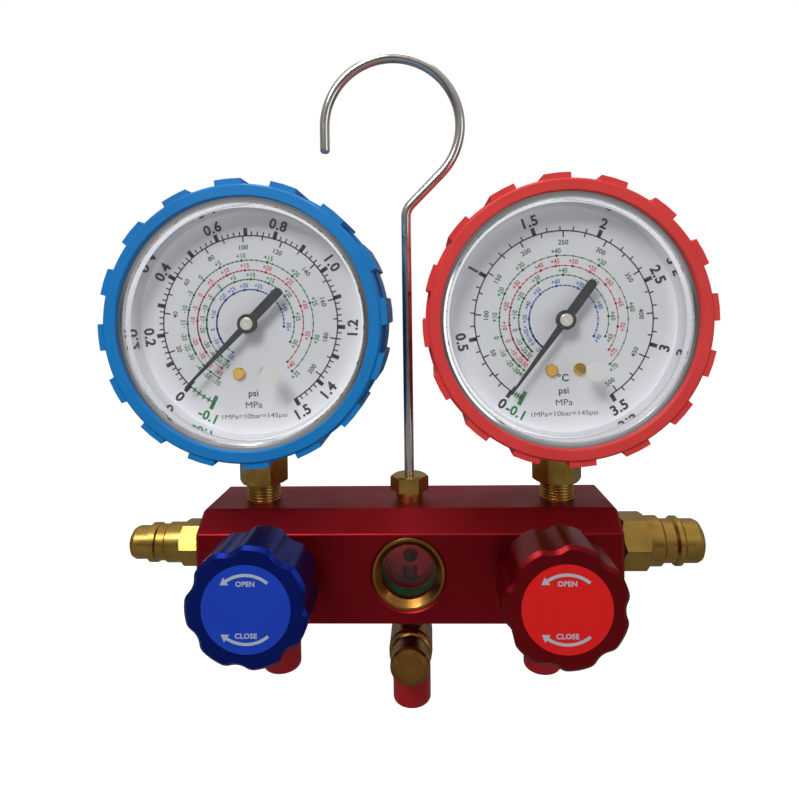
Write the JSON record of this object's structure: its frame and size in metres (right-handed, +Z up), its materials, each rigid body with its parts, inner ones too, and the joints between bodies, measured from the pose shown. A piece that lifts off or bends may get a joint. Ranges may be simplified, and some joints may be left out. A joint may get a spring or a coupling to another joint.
{
  "type": "refrigerant manifold gauge set",
  "caption": "Bar-shaped refrigerant manifold with round pressure gauges in rubber boots, lobed valve knobs, sight glass, capped hose ports, coupler posts and a swivelling wire hook.",
  "frame": {"origin": "centre of the bar's flat back face", "axes": "+X to the right when the dials face the viewer, +Y to the back, +Z up to the hook; dials and knobs look along -Y"},
  "size_m": [0.1884, 0.0566, 0.2146],
  "materials": {
    "bar_anodised": "satin red anodised",
    "brass": "turned, bright",
    "bronze": "drawn",
    "clear_glass": "polished",
    "clear_lens": "polished clear plastic",
    "green_rubber": "matte",
    "chromed_wire": "bright plated",
    "chrome_ring": "bright plated",
    "cap_rubber": "smooth, slightly glossy",
    "black_rubber": "matte",
    "white_rubber": "matte",
    "blue_knob": "satin blue anodised",
    "red_knob": "satin red anodised",
    "steel": "plated",
    "blue_badge": "gloss print",
    "red_badge": "gloss print",
    "black_case": "semi-gloss black paint",
    "blue_boot": "satin rubber",
    "red_boot": "satin rubber",
    "white_dial": "matt white enamel",
    "black_pointer": "matt black"
  },
  "bodies": {
    "manifold": {"manifold_block": "bar_anodised", "sight_ring": "brass", "sight_glass": "clear_glass", "sight_gasket": "green_rubber", "hook_nut": "brass", "charge_tee": "brass", "access_core": "brass", "low_bonnet": "brass", "low_coupler_post": "brass", "low_hose_port": "brass", "low_gauge_case": "black_case", "low_bezel": "chrome_ring", "low_lens": "clear_lens", "low_lens_plug": "white_rubber", "low_boot": "blue_boot", "low_gauge_socket": "brass", "low_bourdon_tube": "bronze", "low_tube_tip": "brass", "low_movement_frame": "brass", "low_hairspring": "bronze", "low_dial": "white_dial", "low_dial_screws": "brass", "high_bonnet": "brass", "high_coupler_post": "brass", "high_hose_port": "brass", "high_gauge_case": "black_case", "high_bezel": "chrome_ring", "high_lens": "clear_lens", "high_lens_plug": "white_rubber", "high_boot": "red_boot", "high_gauge_socket": "brass", "high_bourdon_tube": "bronze", "high_tube_tip": "brass", "high_movement_frame": "brass", "high_hairspring": "bronze", "high_dial": "white_dial", "high_dial_screws": "brass"},
    "low_seals": {"low_spindle_seals": "black_rubber"},
    "low_valve": {"low_spindle": "brass", "low_knob": "blue_knob", "low_knob_screw": "steel", "low_badge": "blue_badge"},
    "low_pointer": {"low_pointer_shaft": "brass", "low_pointer": "black_pointer"},
    "low_sector": {"low_sector_gear": "brass"},
    "low_link": {"low_link": "brass"},
    "low_port_cap": {"low_port_cap": "cap_rubber"},
    "high_seals": {"high_spindle_seals": "black_rubber"},
    "high_valve": {"high_spindle": "brass", "high_knob": "red_knob", "high_knob_screw": "steel", "high_badge": "red_badge"},
    "high_pointer": {"high_pointer_shaft": "brass", "high_pointer": "black_pointer"},
    "high_sector": {"high_sector_gear": "brass"},
    "high_link": {"high_link": "brass"},
    "high_port_cap": {"high_port_cap": "cap_rubber"},
    "hook": {"hook": "chromed_wire"},
    "centre_port_cap": {"centre_port_cap": "cap_rubber"},
    "access_cap": {"access_cap": "brass"}
  },
  "joints": [
    {"name": "low_valve_travel", "type": "slide", "parent": "manifold", "child": "low_seals", "axis": [0, -1, 0], "range_m": [0, 0.0015]},
    {"name": "low_valve_turn", "type": "hinge", "parent": "low_seals", "child": "low_valve", "pos_m": [-0.0427, -0.04, 0], "axis": [0, -1, 0], "range_deg": [0, 540]},
    {"name": "low_pointer_turn", "type": "hinge", "parent": "manifold", "child": "low_pointer", "pos_m": [-0.0487, -0.022, 0.0756], "axis": [0, 1, 0], "range_deg": [-19, 285], "stiffness_Nm_per_rad": 0.002},
    {"name": "low_sector_turn", "type": "hinge", "parent": "manifold", "child": "low_sector", "pos_m": [-0.0487, -0.022, 0.0546], "axis": [0, 1, 0], "range_deg": [-48, 3.67]},
    {"name": "low_link_turn", "type": "hinge", "parent": "low_sector", "child": "low_link", "pos_m": [-0.04508, -0.0208, 0.05177], "axis": [0, 1, 0], "range_deg": [-3.67, 48]},
    {"name": "low_port_cap_pull", "type": "slide", "parent": "manifold", "child": "low_port_cap", "axis": [0, 0, -1], "range_m": [0, 0.02]},
    {"name": "high_valve_travel", "type": "slide", "parent": "manifold", "child": "high_seals", "axis": [0, -1, 0], "range_m": [0, 0.0015]},
    {"name": "high_valve_turn", "type": "hinge", "parent": "high_seals", "child": "high_valve", "pos_m": [0.0427, -0.04, 0], "axis": [0, -1, 0], "range_deg": [0, 540]},
    {"name": "high_pointer_turn", "type": "hinge", "parent": "manifold", "child": "high_pointer", "pos_m": [0.0487, -0.022, 0.0756], "axis": [0, 1, 0], "range_deg": [-8, 292], "stiffness_Nm_per_rad": 0.002},
    {"name": "high_sector_turn", "type": "hinge", "parent": "manifold", "child": "high_sector", "pos_m": [0.0487, -0.022, 0.0546], "axis": [0, 1, 0], "range_deg": [-49.17, 1.83]},
    {"name": "high_link_turn", "type": "hinge", "parent": "high_sector", "child": "high_link", "pos_m": [0.05232, -0.0208, 0.05177], "axis": [0, 1, 0], "range_deg": [-1.83, 49.17]},
    {"name": "high_port_cap_pull", "type": "slide", "parent": "manifold", "child": "high_port_cap", "axis": [0, 0, -1], "range_m": [0, 0.02]},
    {"name": "hook_swivel", "type": "hinge", "parent": "manifold", "child": "hook", "pos_m": [0, -0.014, 0.03], "axis": [0, 0, 1], "continuous": true},
    {"name": "centre_port_cap_pull", "type": "slide", "parent": "manifold", "child": "centre_port_cap", "axis": [0, 0, -1], "range_m": [0, 0.02]},
    {"name": "access_cap_pull", "type": "slide", "parent": "manifold", "child": "access_cap", "axis": [0, -1, 0], "range_m": [0, 0.014]}
  ],
  "couplings": [
    {"joint": "low_valve_travel", "follows": "low_valve_turn", "m_per_rad": 0.000159},
    {"joint": "low_sector_turn", "follows": "low_pointer_turn", "ratio": -0.16667},
    {"joint": "low_link_turn", "follows": "low_pointer_turn", "ratio": 0.16667},
    {"joint": "high_valve_travel", "follows": "high_valve_turn", "m_per_rad": 0.000159},
    {"joint": "high_sector_turn", "follows": "high_pointer_turn", "ratio": -0.16667},
    {"joint": "high_link_turn", "follows": "high_pointer_turn", "ratio": 0.16667}
  ]
}
